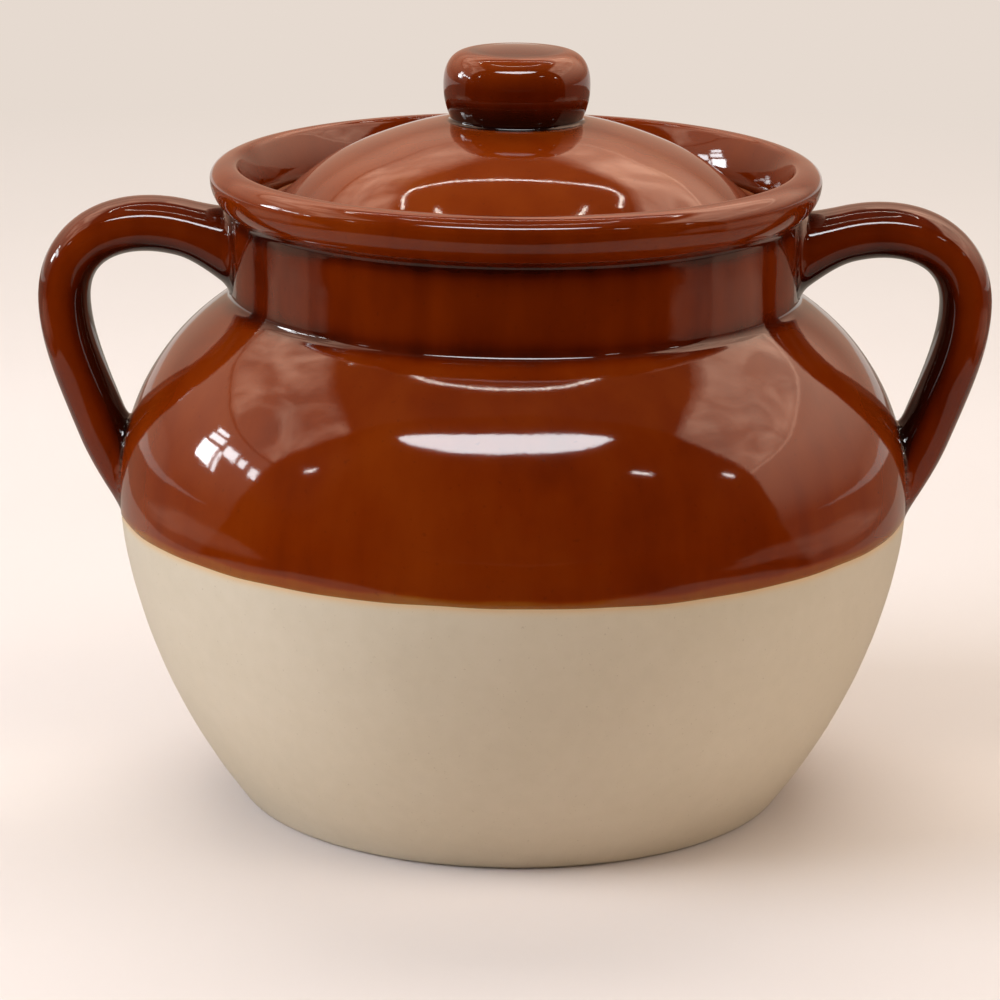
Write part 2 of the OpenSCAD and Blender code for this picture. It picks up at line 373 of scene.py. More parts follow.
# %% Make the upper wall
def upper_wall_piece():
    """A closed ring: rows up the outside, over the rim, down the inside and back along the cut."""
    out = outside[outside[:, 1] > glaze_z + 0.02]
    fine = glaze_z + np.array([0, 0.05, 0.12, 0.22, 0.36, 0.55, 0.8, 1.1, 1.5, 2.0])
    out = joined(np.stack([radius_at(fine), fine], 1), out[out[:, 1] > fine[-1] + 0.2])
    inner = inside[inside[:, 1] > glaze_z + 0.1]
    seam = radius_inside(glaze_z)
    line = joined(out, inner, [[seam, glaze_z + 0.1], [seam, glaze_z]])
    outer = np.arange(len(line))[:, None] < len(out)
    near = outer & (line[:, 1:] < 100)
    radius, height = wall_rows(line, outer, near[:, 0])
    above = line[:, 1:] - glaze_z
    missing = proud * np.sqrt(np.clip(1 - (above / 0.5) ** 2, 0, 1)) * (above < 0.5)
    points = turned_points(radius - missing * near, height)
    neck, groove, crest = (ease((height - z) / w) for z, w in ((118, 4), (138, 4), (148, 3)))
    strength = np.where(outer, 1 - 0.3 * neck - 0.3 * groove + 0.6 * crest, 0.7)
    pool = np.maximum(bend(line, closed=True)[:, None] * strength, root_pool(points) * outer)
    band = 1 - ease((above - 1.5 - 0.4 * np.sin(5 * turns) - 0.25 * np.sin(23 * turns)) / 1.1)
    thin = 0.58 * band + 0.42 * np.exp(-above / 0.35)
    # The neck and the groove under the rim get thicker glaze and painted shade.
    pool = pool + np.where(outer, neck_pool_and_shade(height) - thin, 0)
    quads = grid_faces(len(line), columns, wrap_rows=True)
    return add_mesh("pot_upper_wall", points.reshape(-1, 3), quads, pool=pool.ravel())

upper_wall = upper_wall_piece()

# %% [markdown]
# ## The lower wall: belly, foot and floor
#
# The lower piece has cream glaze outside, brown glaze inside, and a ring of bare clay where it
# stood in the kiln. One material could mix all three by masks, but with three materials on one
# mesh each finish stays simple: every face says which of them it wears.

# %% Make the lower wall
CREAM, BROWN, BARE = 0, 1, 2
bare_rows = 8         # rows of points across the ring that stood on the kiln's shelf

def lower_wall_piece():
    """A closed cup: rows out along the base, up to the glaze line, in, and down to the floor."""
    out = outside[outside[:, 1] < glaze_z - 2.3]
    fine = glaze_z - np.array([2.0, 1.5, 1.1, 0.8, 0.5, 0.3, 0.15, 0.05, 0.0])
    out = joined(out, np.stack([radius_at(fine), fine], 1))
    base = joined(run([0.0, recess_t], [recess_r, recess_t], 6),
                  run([recess_r + recess_t, 0], foot_c - [0, foot_round], 1.5))
    inner = inside[inside[:, 1] < glaze_z - 0.1]
    seam = radius_inside(glaze_z)
    line = joined(base, out, [[seam, glaze_z], [seam, glaze_z - 0.1]], inner,
                  run([floor_c[0], floor_t], [0.0, floor_t], 3))
    n_base, n_out = len(base), len(base) + len(out)
    line, row = line[1:-1], np.arange(1, len(line) - 1)
    outer = (row >= n_base) & (row < n_out)
    radius, height = wall_rows(line, outer[:, None], outer & (line[:, 1] > 50))
    points = turned_points(radius - proud * ease(height / 6) * outer[:, None], height)
    below = np.clip(line_height(turns) - height, 0, 99)
    pool = np.where(outer[:, None], np.exp(-(below / 1.2) ** 2), bend(line)[:, None] * 0.7)
    kind = np.select([row < n_base - bare_rows, row < n_base, row < n_out],
                     [CREAM, BARE, CREAM], BROWN)
    return closed_piece("pot_lower_wall", points, [(recess_t, 0), (floor_t, 0)], pool, kind)

lower_wall = lower_wall_piece()

# %% [markdown]
# ## The handles
#
# A handle is a strap of clay, thick at the top and thin at the bottom, pressed on at the neck and
# the belly: here, an oval section that travels along two joined curves. A potter smooths the joint
# with a finger. A Boolean and a Bevel could fake that, but they leave messy faces on a curved wall.
# Moving each point along the wall by a quarter-circle rule gives a clean hollow.

# %% The strap's middle line and size
strap_t, strap_w = 13.4, 18.0   # thickness and width where the strap leaves the neck
run_share = 0.93                # share of that thickness along the outer run
tip_t = 4.0                     # thickness at the strap's lower tip
out_x, out_z = reach - 0.02 - run_share * strap_t / 2, 120.5
upper_curve = np.array([[neck_r - 3.2, 131.5], [neck_r + 15.8, 144.5],
                        [out_x + 0.3, out_z + 20.5], [out_x, out_z]])
lower_curve = np.array([[out_x, out_z], [out_x - 0.2, out_z - 14.5],
                        [body_r + 3, 90.0], [body_r - 3.6, 67.5]])

def along(curve, t):
    """Point and direction at t from 0 to 1 on a curve drawn by four points,
    (1-t)^3 a + 3(1-t)^2 t b + 3(1-t) t^2 c + t^3 d."""
    a, b, c, d = curve
    t = t[:, None]
    point = (1 - t) ** 3 * a + 3 * (1 - t) ** 2 * t * b + 3 * (1 - t) * t ** 2 * c + t ** 3 * d
    way = (1 - t) ** 2 * (b - a) + 2 * (1 - t) * t * (c - b) + t ** 2 * (d - c)
    return point, way

def from_wall(points):
    """Signed distance of points from the wall's outside, and the wall's outward direction there."""
    skin = outside[outside[:, 1] > 55]
    middle = (skin[1:] + skin[:-1]) / 2
    step = np.diff(skin, axis=0)
    normal = np.stack([step[:, 1], -step[:, 0]], 1) / np.hypot(*step.T)[:, None]
    radial = np.hypot(points[:, 0], points[:, 1])
    flat = np.stack([radial, points[:, 2]], 1)
    nearest = ((flat[:, None] - middle) ** 2).sum(-1).argmin(1)
    away = ((flat - middle[nearest]) * normal[nearest]).sum(1)
    out = points[:, :2] / radial[:, None]
    return away, np.concatenate([out * normal[nearest, :1], normal[nearest, 1:]], 1)

# %% Sweep the strap
def strap_points(rings, sides):
    """Ovals of half size (t/2, w/2) set square to the middle line, upright where it leaves the
    neck, and closer together near both roots."""
    s = np.linspace(0, 1, rings)
    s = s - 0.055 * np.sin(2 * np.pi * s)
    first = along(upper_curve, np.clip(2 * s, 0, 1))
    second = along(lower_curve, np.clip(2 * s - 1, 0, 1))
    centre, way = (np.where((s < 0.5)[:, None], a, b) for a, b in zip(first, second))
    tilt = np.arctan2(way[:, 1], way[:, 0]) * ease(s / 0.12) + np.pi / 2
    root = np.clip(1 - s / 0.125, 0, 1) ** 2
    thin = np.clip((s - 0.82) / 0.18, 0, 1) ** 2
    thick = strap_t * (1 - (1 - run_share) * ease(2 * s)) + 9 * root
    thick = thick - (strap_t * run_share - tip_t) * thin
    wide = strap_w - 2 * ease(2 * s - 1) + 5 * root + 0.25 * np.sin(s * 23)
    cu, su = np.cos(around(sides)), np.sin(around(sides))
    across = thick[:, None] / 2 * np.sign(cu) * np.abs(cu) ** 0.8
    side = wide[:, None] / 2 * np.sign(su) * np.abs(su) ** 0.94
    x = centre[:, :1] + across * np.cos(tilt)[:, None]
    z = centre[:, 1:] + across * np.sin(tilt)[:, None]
    outward = np.stack([cu * np.cos(tilt)[:, None], np.broadcast_to(su, x.shape),
                        cu * np.sin(tilt)[:, None]], -1)
    return np.stack([x, side, z], -1), outward

def strap_piece(name, side, rings=200, sides=56, hollow=2.6):
    """A closed strap with its joint smoothed: points within `hollow` of the wall slide along it.
    The left one, of side -1, is the right one turned half a turn about the axis."""
    points, outward = strap_points(rings, sides)
    flat, push = points.reshape(-1, 3), outward.reshape(-1, 3)
    away, up = from_wall(flat)
    gap = np.clip(away, 0, hollow)
    slide = hollow - np.sqrt(hollow ** 2 - (hollow - gap) ** 2)
    tangent = push - (push * up).sum(1, keepdims=True) * up
    flat = flat + tangent * slide[:, None]
    at_root = np.exp(-np.clip(away, 0, 30) / 1.4) * 0.42
    u = around(sides)
    # Round the section: thicker glaze all over, a little thinner along the strap's two sides, and
    # painted shade on its inner side, towards the pot.
    section_glaze_and_shade = 0.34 - 0.28 * np.abs(np.sin(u)) ** 6 + 0.5 * ease(-np.cos(u) / 0.8)
    pool = np.concatenate([at_root + np.tile(section_glaze_and_shade, rings), [1, 1]])
    flat = flat * [side, side, 1]
    ends = flat.reshape(rings, sides, 3)[[0, -1]].mean(1)
    faces = tube_faces(rings, sides, flip=True)
    return add_mesh(name, np.concatenate([flat, ends]), *faces, pool)

right_handle = strap_piece("right_strap", 1)
left_handle = strap_piece("left_strap", -1)

# %% [markdown]
# ## The lid
#
# The lid is a shallow dome with a narrow flat edge, and a ring underneath that drops into the
# throat of the pot. A scaled sphere would be quicker, but its edge and its ring would be separate
# pieces. As one outline that reaches the axis at both ends it turns into a single closed mesh.

# %% Make the lid
brim_t, dome_meets, ring_r, ring_t, ring_drop = 3.6, 57.5, 52.3, 4.0, 6.0
dome_arc, dome_top = 83.6, seat_z + 26.7
dome_flat_r = 16.6    # the dome is flat inside this radius, under the knob
hollow_arc, hollow_top = 76.0, seat_z + 19.3
dome_c = [0.0, dome_top - dome_arc]
hollow_c = [0.0, hollow_top - hollow_arc]

def turned_piece(name, line, pool, kind, sides=columns):
    """An outline from pole to pole, turned. Each of its points has a pool and a material."""
    points = turned_points(np.repeat(line[1:-1, :1], sides, 1), line[1:-1, 1:], around(sides))
    ends = list(zip(line[[0, -1], 1], pool[[0, -1]]))
    return closed_piece(name, points, ends, pool[1:-1, None], kind[1:-1])

def settled(r):
    """How far the soft dome swelled at its shoulder and sank in its middle: two bells of r."""
    return 0.5 * np.exp(-((r - 44) / 8) ** 2) - 1.5 * np.exp(-(r / 34) ** 2)

def lid_outline():
    """From the middle of the underside out over the ring and the edge, then up the dome."""
    edge = dome_c[1] + np.sqrt(dome_arc ** 2 - dome_meets ** 2)
    turn_out = angle_at(dome_c, dome_arc, dome_meets)
    turn_in = angle_at(hollow_c, hollow_arc, ring_r - ring_t)
    flat = angle_at(dome_c, dome_arc, dome_flat_r)
    round_ring, round_brim = ring_t / 2, brim_t / 2
    brim_r, brim_z = lid_r - round_brim, seat_z + brim_t
    line = joined(arc(hollow_c, hollow_arc, 90, turn_in, 1.2),
                  oval([ring_r - round_ring, seat_z - ring_drop + round_ring],
                       round_ring, round_ring, -180, 0, 14),
                  run([ring_r, seat_z - ring_drop + round_ring], [ring_r, seat_z], 0.6),
                  run([ring_r, seat_z], [brim_r, seat_z], 0.7),
                  oval([brim_r, seat_z + round_brim], round_brim, round_brim, -90, 90, 16),
                  run([brim_r, brim_z], [dome_meets + 1.6, brim_z + 0.02], 0.4),
                  [[dome_meets + 0.7, edge - 0.18]],
                  arc(dome_c, dome_arc, turn_out + 0.25, flat, 0.9),
                  run([dome_flat_r - 0.1, lid_flat_z], [0.0, lid_flat_z], 1.5))
    top = (np.arange(len(line)) > len(line) / 2) & (line[:, 1] > brim_z + 0.5)
    line[:, 1] += settled(line[:, 0]) * top
    return line

lid_line = lid_outline()
# The underside of the edge is bare clay: it rests on the ledge.
lid_bare = (np.abs(lid_line[:, 1] - seat_z) < 0.3) & (lid_line[:, 0] > ring_r - 0.1)
lid = turned_piece("lid_dome", lid_line, np.maximum(bend(lid_line) - 0.15, -0.5), lid_bare)

# %% [markdown]
# ## The knob
#
# The knob is a squat ball of clay with a nearly flat top, and a small hollow full of dark glaze
# joins its foot to the dome. It could be part of the lid's outline, but it was pressed on as a
# piece of its own, so it is turned from its own outline too.

# %% Make the knob
knob_waist_r, knob_top_r = 15.8, 10.5
knob_belly_h = 8.2    # height of its greatest radius above its foot
knob_crown = 0.6      # how far the top domes up
knob_square = 0.8     # below 1 the shoulder is fuller than an ellipse
knob_root = 1.2       # how far it reaches into the lid
foot_hollow = 0.9     # radius of the hollow round its foot
knob_foot_z = lid_flat_z + settled(knob_waist_r + foot_hollow)
knob_h = knob_top - knob_foot_z

def knob_outline():
    """Up from the lid: the foot's hollow, the side, the shoulder and the slightly domed top."""
    hollow = oval([knob_waist_r + foot_hollow, foot_hollow], foot_hollow, foot_hollow, -90, -180, 9)
    t = np.linspace(0, 1, 20)
    side = np.stack([knob_waist_r + (knob_r - knob_waist_r) * (1 - (1 - t) ** 2),
                     foot_hollow + (knob_belly_h - foot_hollow) * t], 1)
    top_h = knob_h - knob_crown - knob_belly_h
    a = np.radians(np.linspace(0, 90, 30))
    shoulder = np.stack([knob_top_r + (knob_r - knob_top_r) * np.cos(a) ** knob_square,
                         knob_belly_h + top_h * np.sin(a) ** knob_square], 1)
    r = np.linspace(knob_top_r, 0, 10)
    crown = np.stack([r, knob_h - knob_crown * (r / knob_top_r) ** 2], 1)
    root = [[0, -knob_root], [knob_waist_r + foot_hollow + 0.2, -knob_root]]
    return joined(root, hollow, side, shoulder, crown) + [0, knob_foot_z]

knob_line = knob_outline()
below_belly = knob_foot_z + knob_belly_h - knob_line[:, 1]
# Painted shade: the knob grows darker below its belly, on top of the glaze that pools in the hollow
# round its foot.
knob_pool_and_shade = bend(knob_line, blur=0.8) + 0.36 + 0.5 * ease(below_belly / 6)
knob = turned_piece("knob_ball", knob_line, knob_pool_and_shade, np.zeros(len(knob_line)), sides=160)

# %% [markdown]
# ## Writing a material as sums
#
# A procedural finish is arithmetic on patterns: so much noise, a mask, one colour over another. In
# the node editor each sum is a node and a wire. A small class that stands for a socket lets the
# sums be written in Python, and every one still becomes ordinary nodes.

# %% Colours
def srgb(*levels):
    """A colour given in picture levels from 0 to 255, as the linear numbers that Blender mixes."""
    share = np.array(levels) / 255
    return *np.where(share <= 0.04045, share / 12.92, ((share + 0.055) / 1.055) ** 2.4), 1

# %% A socket that can be added and multiplied
def plug(socket, value):
    """Gives an input socket a link from a Wire, or a plain value."""
    if isinstance(value, Wire):
        socket.id_data.links.new(value.socket, socket)
    else:
        socket.default_value = value


class Wire:
    """One output of a node. Arithmetic on it adds Math nodes to the same node tree."""

    def __init__(self, socket):
        self.socket = socket

    def math(self, operation, *values):
        node = self.socket.id_data.nodes.new("ShaderNodeMath")
        node.operation = operation
        for socket, value in zip(node.inputs, values):
            plug(socket, value)
        return Wire(node.outputs[0])

    def __add__(self, other): return self.math("ADD", self, other)
    def __radd__(self, other): return self.math("ADD", other, self)
    def __sub__(self, other): return self.math("SUBTRACT", self, other)
    def __rsub__(self, other): return self.math("SUBTRACT", other, self)
    def __mul__(self, other): return self.math("MULTIPLY", self, other)
    def __rmul__(self, other): return self.math("MULTIPLY", other, self)
    def __pow__(self, other): return self.math("POWER", self, other)
    def at_least(self, other): return self.math("MAXIMUM", self, other)
    def at_most(self, other): return self.math("MINIMUM", self, other)

    def size(self): return self.math("ABSOLUTE", self)
    def sign(self): return self.math("SIGN", self)

    def step(self, sharp):
        """0 where the value is negative, rising evenly to 1 within 1 / sharp."""
        return (self * sharp).at_least(0).at_most(1)


class Nodes:
    """A node tree, and short ways to add nodes to it."""

    def __init__(self, tree):
        self.tree = tree

    def add(self, kind, settings=None, out=0, **inputs):
        """Any node: first its settings, then its sockets, by name or as _0, _1 and so on."""
        node = self.tree.nodes.new(kind)
        for key, value in (settings or {}).items():
            if key == "stops":
                stops = node.color_ramp.elements
                while len(stops) < len(value):
                    stops.new(1)
                for stop, (position, *levels) in zip(stops, value):
                    stop.position, stop.color = position, srgb(*levels)
            else:
                setattr(node, key, value)
        for name, value in inputs.items():
            key = int(name[1:]) if name[1:].isdigit() else name.replace("_", " ")
            plug(node.inputs[key], value)
        return Wire(node.outputs[out])

    def axes(self, place):
        """The x, y and z of a point."""
        return [self.add("ShaderNodeSeparateXYZ", out=axis, _0=place) for axis in "XYZ"]


class Finish(Nodes):
    """A new material with a Principled shader, and short ways to add the nodes that feed it."""

    def __init__(self, name, **constants):
        self.material = bpy.data.materials.new(name)
        self.material.use_nodes = True
        super().__init__(self.material.node_tree)
        self.shader = self.tree.nodes["Principled BSDF"]
        self.feed(**constants)
        self.place = self.add("ShaderNodeTexCoord", out="Object")

    def feed(self, **inputs):
        for name, value in inputs.items():
            plug(self.shader.inputs[name.replace("_", " ")], value)

    def noise(self, scale, detail=3.0, stretch=(1, 1, 1)):
        """Cloudy noise from 0 to 1 whose blobs are about 1 / scale metres across."""
        place = self.add("ShaderNodeMapping", Vector=self.place, Scale=stretch)
        return self.add("ShaderNodeTexNoise", Vector=place, Scale=scale, Detail=detail)

    def ramp(self, value, *stops):
        """Colours by value: each stop is a value from 0 to 1 and three picture levels."""
        return self.add("ShaderNodeValToRGB", {"stops": stops}, Fac=value)

    def mix(self, amount, first, second):
        """A mix of two colours; sockets 6 and 7 of the Mix node are its colours."""
        return self.add("ShaderNodeMix", {"data_type": "RGBA"}, 2, _0=amount, _6=first, _7=second)

    def pool(self):
        return self.add("ShaderNodeAttribute", {"attribute_name": "pool"}, out="Fac")

    def bump(self, height, depth, **under):
        return self.add("ShaderNodeBump", Height=height, Distance=depth, Strength=1.0, **under)

# %% [markdown]
# ## Brown glaze
#
# This glaze is a thick coloured glass full of iron: amber where thin, a deep reddish brown at its
# usual depth, nearly black where it pools. Noise alone could mottle it, but then the colour would
# ignore the shape. So one number, its depth, runs through a ramp of colours: the mesh's
# pool value, which also holds painted shade on the neck, below the knob's belly and on
# the handles' inner side, plus cloudy noise and faint runs. The surface is glass-smooth, with slow
# waves and a fine ripple.

# %% Make the brown glaze
def brown_glaze():
    glaze = Finish("brown_glaze", IOR=1.56)
    clouds = glaze.noise(28, 4.0)
    runs = glaze.noise(130, 3.0, (1, 1, 0.16))
    grain = glaze.noise(900, 2.0)
    # depth: the glaze's depth, together with the painted shade that the mesh carries.
    depth = glaze.pool() * 0.5 + (clouds - 0.5) * 0.42 + (runs - 0.5) * 0.22 + 0.5
    colour = glaze.ramp(depth, (0.0, 152, 98, 36), (0.2, 138, 70, 15), (0.36, 130, 50, 6),
                        (0.52, 116, 38, 2), (0.66, 92, 25, 2), (0.82, 50, 10, 3), (1.0, 24, 6, 5))
    speck = (grain - 0.66).step(9)
    colour = glaze.mix(speck * 0.25, colour, srgb(44, 14, 6))
    rough = 0.045 + clouds * 0.03 + speck * 0.05
    waves = glaze.noise(46, 1.0)
    ripple = glaze.noise(420, 2.0)
    normal = glaze.bump(ripple, 0.00001, Normal=glaze.bump(waves, 0.00022))
    glaze.feed(Base_Color=colour, Roughness=rough, Normal=normal)
    return glaze.material

brown = brown_glaze()

# %% [markdown]
# ## Cream glaze
#
# The lower glaze is thinner and satin: it shows soft light but no sharp reflection. Its colour
# drifts a little between warm and grey cream, with fine specks from the clay. Just under the brown
# line it has taken up some iron, which leaves a narrow peach stain.

# %% Make the cream glaze and the bare clay
def cream_glaze():
    cream = Finish("cream_glaze", IOR=1.5)
    drift = cream.noise(20, 4.0)
    mottle = cream.noise(260, 4.0)
    specks = cream.noise(1500, 2.0)
    colour = cream.ramp(drift * 0.7 + mottle * 0.3, (0.3, 206, 190, 163), (0.5, 212, 196, 170),
                        (0.7, 217, 201, 176))
    speck = (specks - 0.69).step(12)
    colour = cream.mix(speck * 0.35, colour, srgb(150, 122, 88))
    colour = cream.mix(cream.pool() * 0.8, colour, srgb(222, 182, 130))
    rough = 0.36 + mottle * 0.10
    normal = cream.bump(specks, 0.00002, Normal=cream.bump(cream.noise(60, 2.0), 0.00012))
    cream.feed(Base_Color=colour, Roughness=rough, Normal=normal)
    return cream.material

def bare_clay():
    clay = Finish("bare_clay", IOR=1.45)
    grain = clay.noise(1100, 5.0)
    colour = clay.ramp(grain, (0.3, 176, 146, 112), (0.55, 198, 172, 138), (0.75, 212, 190, 158))
    clay.feed(Base_Color=colour, Roughness=0.78 + grain * 0.15, Normal=clay.bump(grain, 0.00012))
    return clay.material

cream, clay = cream_glaze(), bare_clay()

# %% Dress the pieces and hand them to the bodies
dressed = [(upper_wall, "pot", "brown_glaze", "upper_wall", [brown]),
           (lower_wall, "pot", "cream_glaze", "lower_wall", [cream, brown, clay]),
           (right_handle, "pot", "brown_glaze", "right_handle", [brown]),
           (left_handle, "pot", "brown_glaze", "left_handle", [brown]),
           (lid, "lid", "brown_glaze", "lid", [brown, clay]),
           (knob, "lid", "brown_glaze", "lid_knob", [brown])]
for piece, body, slot, node, finishes in dressed:
    for finish in finishes:
        piece.data.materials.append(finish)
    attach(piece, body)
    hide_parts(node)
    print(piece.name, "rides on", body, "and stands for", node)

# %% [markdown]
# ## The floor
#
# In a studio a sheet of pale paper runs up the wall, so that no edge shows behind the pot. A curved
# sheet could do that here, but it would have to be lit evenly for every view. So the floor fades
# into one even colour that shines by itself, and the camera sees that colour beyond it.

# %% Floor
black = (0, 0, 0, 1)
backdrop = srgb(230, 218, 208)

def add_floor(sides=64):
    """A flat disc at height 0. It fades into the backdrop between 0.4 and 1 m from the axis."""
    rings = np.array([0.3, 1, 3, 8.0]) / MM
    ring = turned_points(np.repeat(rings[:, None], sides, 1), 0.0, around(sides))
    points = np.concatenate([ring.reshape(-1, 3), [[0, 0, 0]]])
    faces = grid_faces(len(rings), sides)[:, ::-1]
    floor = add_mesh("floor", points, faces, fan(len(rings) * sides, np.arange(sides)))
    paper = Finish("pale_floor", Specular_IOR_Level=0.0, Emission_Strength=1.0)
    shade = paper.noise(3.0)
    x, y, z = paper.axes(paper.place)
    far = ((x * x + y * y) ** 0.5 - 0.4).step(1 / 0.6)
    near_colour = paper.ramp(shade, (0.3, 231, 220, 211), (0.7, 236, 225, 217))
    paper.feed(Base_Color=paper.mix(far, near_colour, black), Roughness=0.55 + shade * 0.1,
               Emission_Color=paper.mix(far, black, backdrop))
    paper.material.cycles.emission_sampling = "NONE"
    floor.data.materials.append(paper.material)
    return floor

add_floor()

# %% [markdown]
# ## Lamps that the glaze mirrors
#
# A glossy pot is mostly a mirror. Its highlights are a ring of small lamps overhead, a long softbox
# above the front, a window with small panes on the left and three small spots. Area lamps could
# draw them, but they would light the cream glaze too. Thin sheets that shine in mirror rays alone
# keep the two apart.

# %% Shapes of the mirrored lamps
def lamp_panel(name, points, quads, strength, tint):
    """A sheet that shines evenly in mirror rays alone: it draws highlights and lights nothing."""
    panel = add_mesh(name, np.asarray(points) / MM, quads)
    shining = Finish(name, Base_Color=black, Specular_IOR_Level=0.0, Emission_Color=(*tint, 1),
                     Emission_Strength=strength)
    panel.data.materials.append(shining.material)
    panel.visible_camera = panel.visible_diffuse = False

lamp_z = 1.1                  # height of the ring and the softbox, in metres
ring_x, ring_y = -0.02, 0.20  # the ring's middle

def evenly(line, spacing):
    """The points of a closed line, moved along it until they lie `spacing` apart."""
    loop = np.concatenate([line, line[:1]])
    length = lengths(loop)
    at = np.linspace(0, length[-1], int(length[-1] / spacing), endpoint=False)
    return np.stack([np.interp(at, length, axis) for axis in loop.T], 1)

def ring_line(spacing):
    """A loop that is round at the front, and wider and squarer at the back."""
    t = around(800)
    back = np.sin(t) > 0
    depth = np.where(back, np.abs(np.sin(t)) ** 0.4, np.sin(t))
    side = np.sign(np.cos(t)) * np.abs(np.cos(t)) ** np.where(back, 0.55, 1.0)
    half = 0.335 + 0.165 * ease((depth - 0.12) / 0.1)
    loop = np.stack([ring_x + half * side, ring_y + 0.31 * depth, np.full(len(t), lamp_z)], 1)
    return evenly(loop, spacing)

def in_gap(y):
    """Where the two parts of the loop would join at the sides."""
    return (y > 0.175) & (y < 0.29)

def ring_of_lamps(spacing=0.024, width=0.0075):
    """Small square lamps in a ring."""
    middle = ring_line(spacing)
    middle = middle[~in_gap(middle[:, 1])]
    square = np.array([[-1, -1, 0], [-1, 1, 0], [1, 1, 0], [1, -1, 0]]) * width
    return (middle[:, None] + square).reshape(-1, 3), np.arange(4 * len(middle)).reshape(-1, 4)

def ring_tube(width=0.0045):
    """The dimmer band that joins them."""
    line = ring_line(0.01)
    centre = np.array([ring_x, ring_y, lamp_z])
    out = (line - centre) / np.linalg.norm(line - centre, axis=1)[:, None] * width
    quads = grid_faces(2, len(line))[:, ::-1]
    return np.concatenate([line - out, line + out]), quads[~in_gap(line[:, 1])]

def softbox(half_length=0.56, half_depth=0.115):
    """A long lamp that bends round the front of the pot, and narrows at its ends."""
    u = np.linspace(-1, 1, 49)
    middle = -0.745 + 0.15 * u ** 2
    half = half_depth * (1 - np.abs(u) ** 3) ** 0.7
    edges = [np.stack([-0.045 + half_length * u, middle + side * half, np.full(len(u), lamp_z)], -1)
             for side in (-1, 1)]
    return np.concatenate(edges), grid_faces(2, len(u), wrap_columns=False)[:, ::-1]

# %% Put the mirrored lamps in place
cool, plain, warm = (0.93, 0.97, 1.0), (1.0, 0.97, 0.94), (1.0, 0.64, 0.46)
ring_tint = (1, 0.93, 0.82)
lamp_panel("ring_lamp", *ring_of_lamps(), 34, ring_tint)
lamp_panel("ring_tube", *ring_tube(), 9, ring_tint)
lamp_panel("long_softbox", *softbox(), 14, cool)
window_x = -1.6
panes = [(0.26, 0.50, 0.40, 0.58), (0.24, 0.46, 0.62, 0.70), (0.26, 0.44, 0.73, 0.78),
         (0.03, 0.19, 0.55, 0.67), (-0.10, -0.01, 0.56, 0.64), (-0.26, -0.17, 0.53, 0.62),
         (0.20, 0.23, 0.40, 0.56)]
for k, (y0, y1, z0, z1) in enumerate(panes):
    pane = [[window_x, y0, z0], [window_x, y1, z0], [window_x, y1, z1], [window_x, y0, z1]]
    lamp_panel(f"window_pane_{k}", pane, [[0, 1, 2, 3]], 14 if k else 20, cool)
spots = [(-1.10, -0.53, 0.70), (0.76, -0.83, 0.87), (1.15, -0.48, 0.65)]
spot_shape = np.array([[-0.075, 0, -0.02], [0.075, 0, -0.02], [0.075, 0, 0.02], [-0.075, 0, 0.02]])
for k, middle in enumerate(spots):
    lamp_panel(f"small_spot_{k}", spot_shape + middle, [[0, 1, 2, 3]], 16, plain)

# %% [markdown]
# ## The table, as the glaze mirrors it
#
# Low on the belly the glaze mirrors the table, its edge and what lies beyond. A table could be
# built, but the pale floor has to show in its place, so two flat sheets that only mirror rays see
# lie just above the floor: a lit table, and beyond it a glowing sheet, a painted reflection of the
# room. An unseen dark card round the front keeps low light off the belly.

# %% Shapes of the sheets and the dark card
def squared(half_width, front, back):
    """A line with corners rounded like a table's: (x / half_width)^4 + (y / front)^4 = 1 in front
    of the pot, and straight back from both ends."""
    a = np.linspace(0, np.pi, 81)
    x = -half_width * np.sign(np.cos(a)) * np.abs(np.cos(a)) ** 0.5
    y = -front * np.sin(a) ** 0.5
    return np.stack([np.concatenate([[x[0]], x, [x[-1]]]), np.concatenate([[back], y, [back]])], 1)

def far_glow_in_mirror():
    """A painted reflection: a sheet that glows black in front, dim warm brown beside the pot and
    behind it, and paler in a pad each side.
    """
    felt = Finish("far_glow_in_mirror", Base_Color=black, Specular_IOR_Level=0.0, Emission_Strength=1.0)
    x, y, z = felt.axes(felt.place)
    wander = felt.noise(9.0)
    off, out = (x * x + y * y) ** 0.5, x.size()
    side = (y + off * 0.11 + x * 0.05).step(60)
    soft = (wander - 0.5) * 0.16
    across = (out - 0.36 + soft).step(14) * (0.85 - out).step(6)
    pad = across * (y + 0.24 + soft + x * 0.12).step(20) * (0.27 - y).step(12)
    level = (side * 0.24 + pad * 0.45 * (wander + 0.4)).at_most(1)
    felt.feed(Emission_Color=felt.mix(level, black, (*warm, 1)))
    return felt.material

def ground_sheet(name, inner, outer, material, lift=0.0006):
    """A flat sheet between two lines, just above the floor, that mirror rays alone see."""
    sheet = np.concatenate([inner, outer])
    sheet = np.concatenate([sheet, np.full((len(sheet), 1), lift)], 1)
    piece = add_mesh(name, sheet / MM, grid_faces(2, len(inner), wrap_columns=False)[:, ::-1])
    material.cycles.emission_sampling = "NONE"
    piece.data.materials.append(material)
    piece.visible_camera = piece.visible_shadow = piece.visible_diffuse = False

def add_card(half_width=0.60, front=0.345, bottom=0.03, height=0.17, extra=0.07):
    """The dark card: an upright sheet along a line, higher by `extra` across the front."""
    x, y = squared(half_width, front, 0.0).T
    top = height + extra * ease((half_width * 0.75 - np.abs(x)) / 0.08)
    rows = [np.stack([x, y, z], 1) for z in (np.full(len(x), bottom), top)]
    quads = grid_faces(2, len(x), wrap_columns=False)
    card = add_mesh("black_card", np.concatenate(rows) / MM, quads)
    card.visible_camera = card.visible_shadow = card.visible_glossy = False
    felt = Finish("black_felt", Base_Color=(0.012, 0.010, 0.009, 1), Roughness=1.0)
    card.data.materials.append(felt.material)

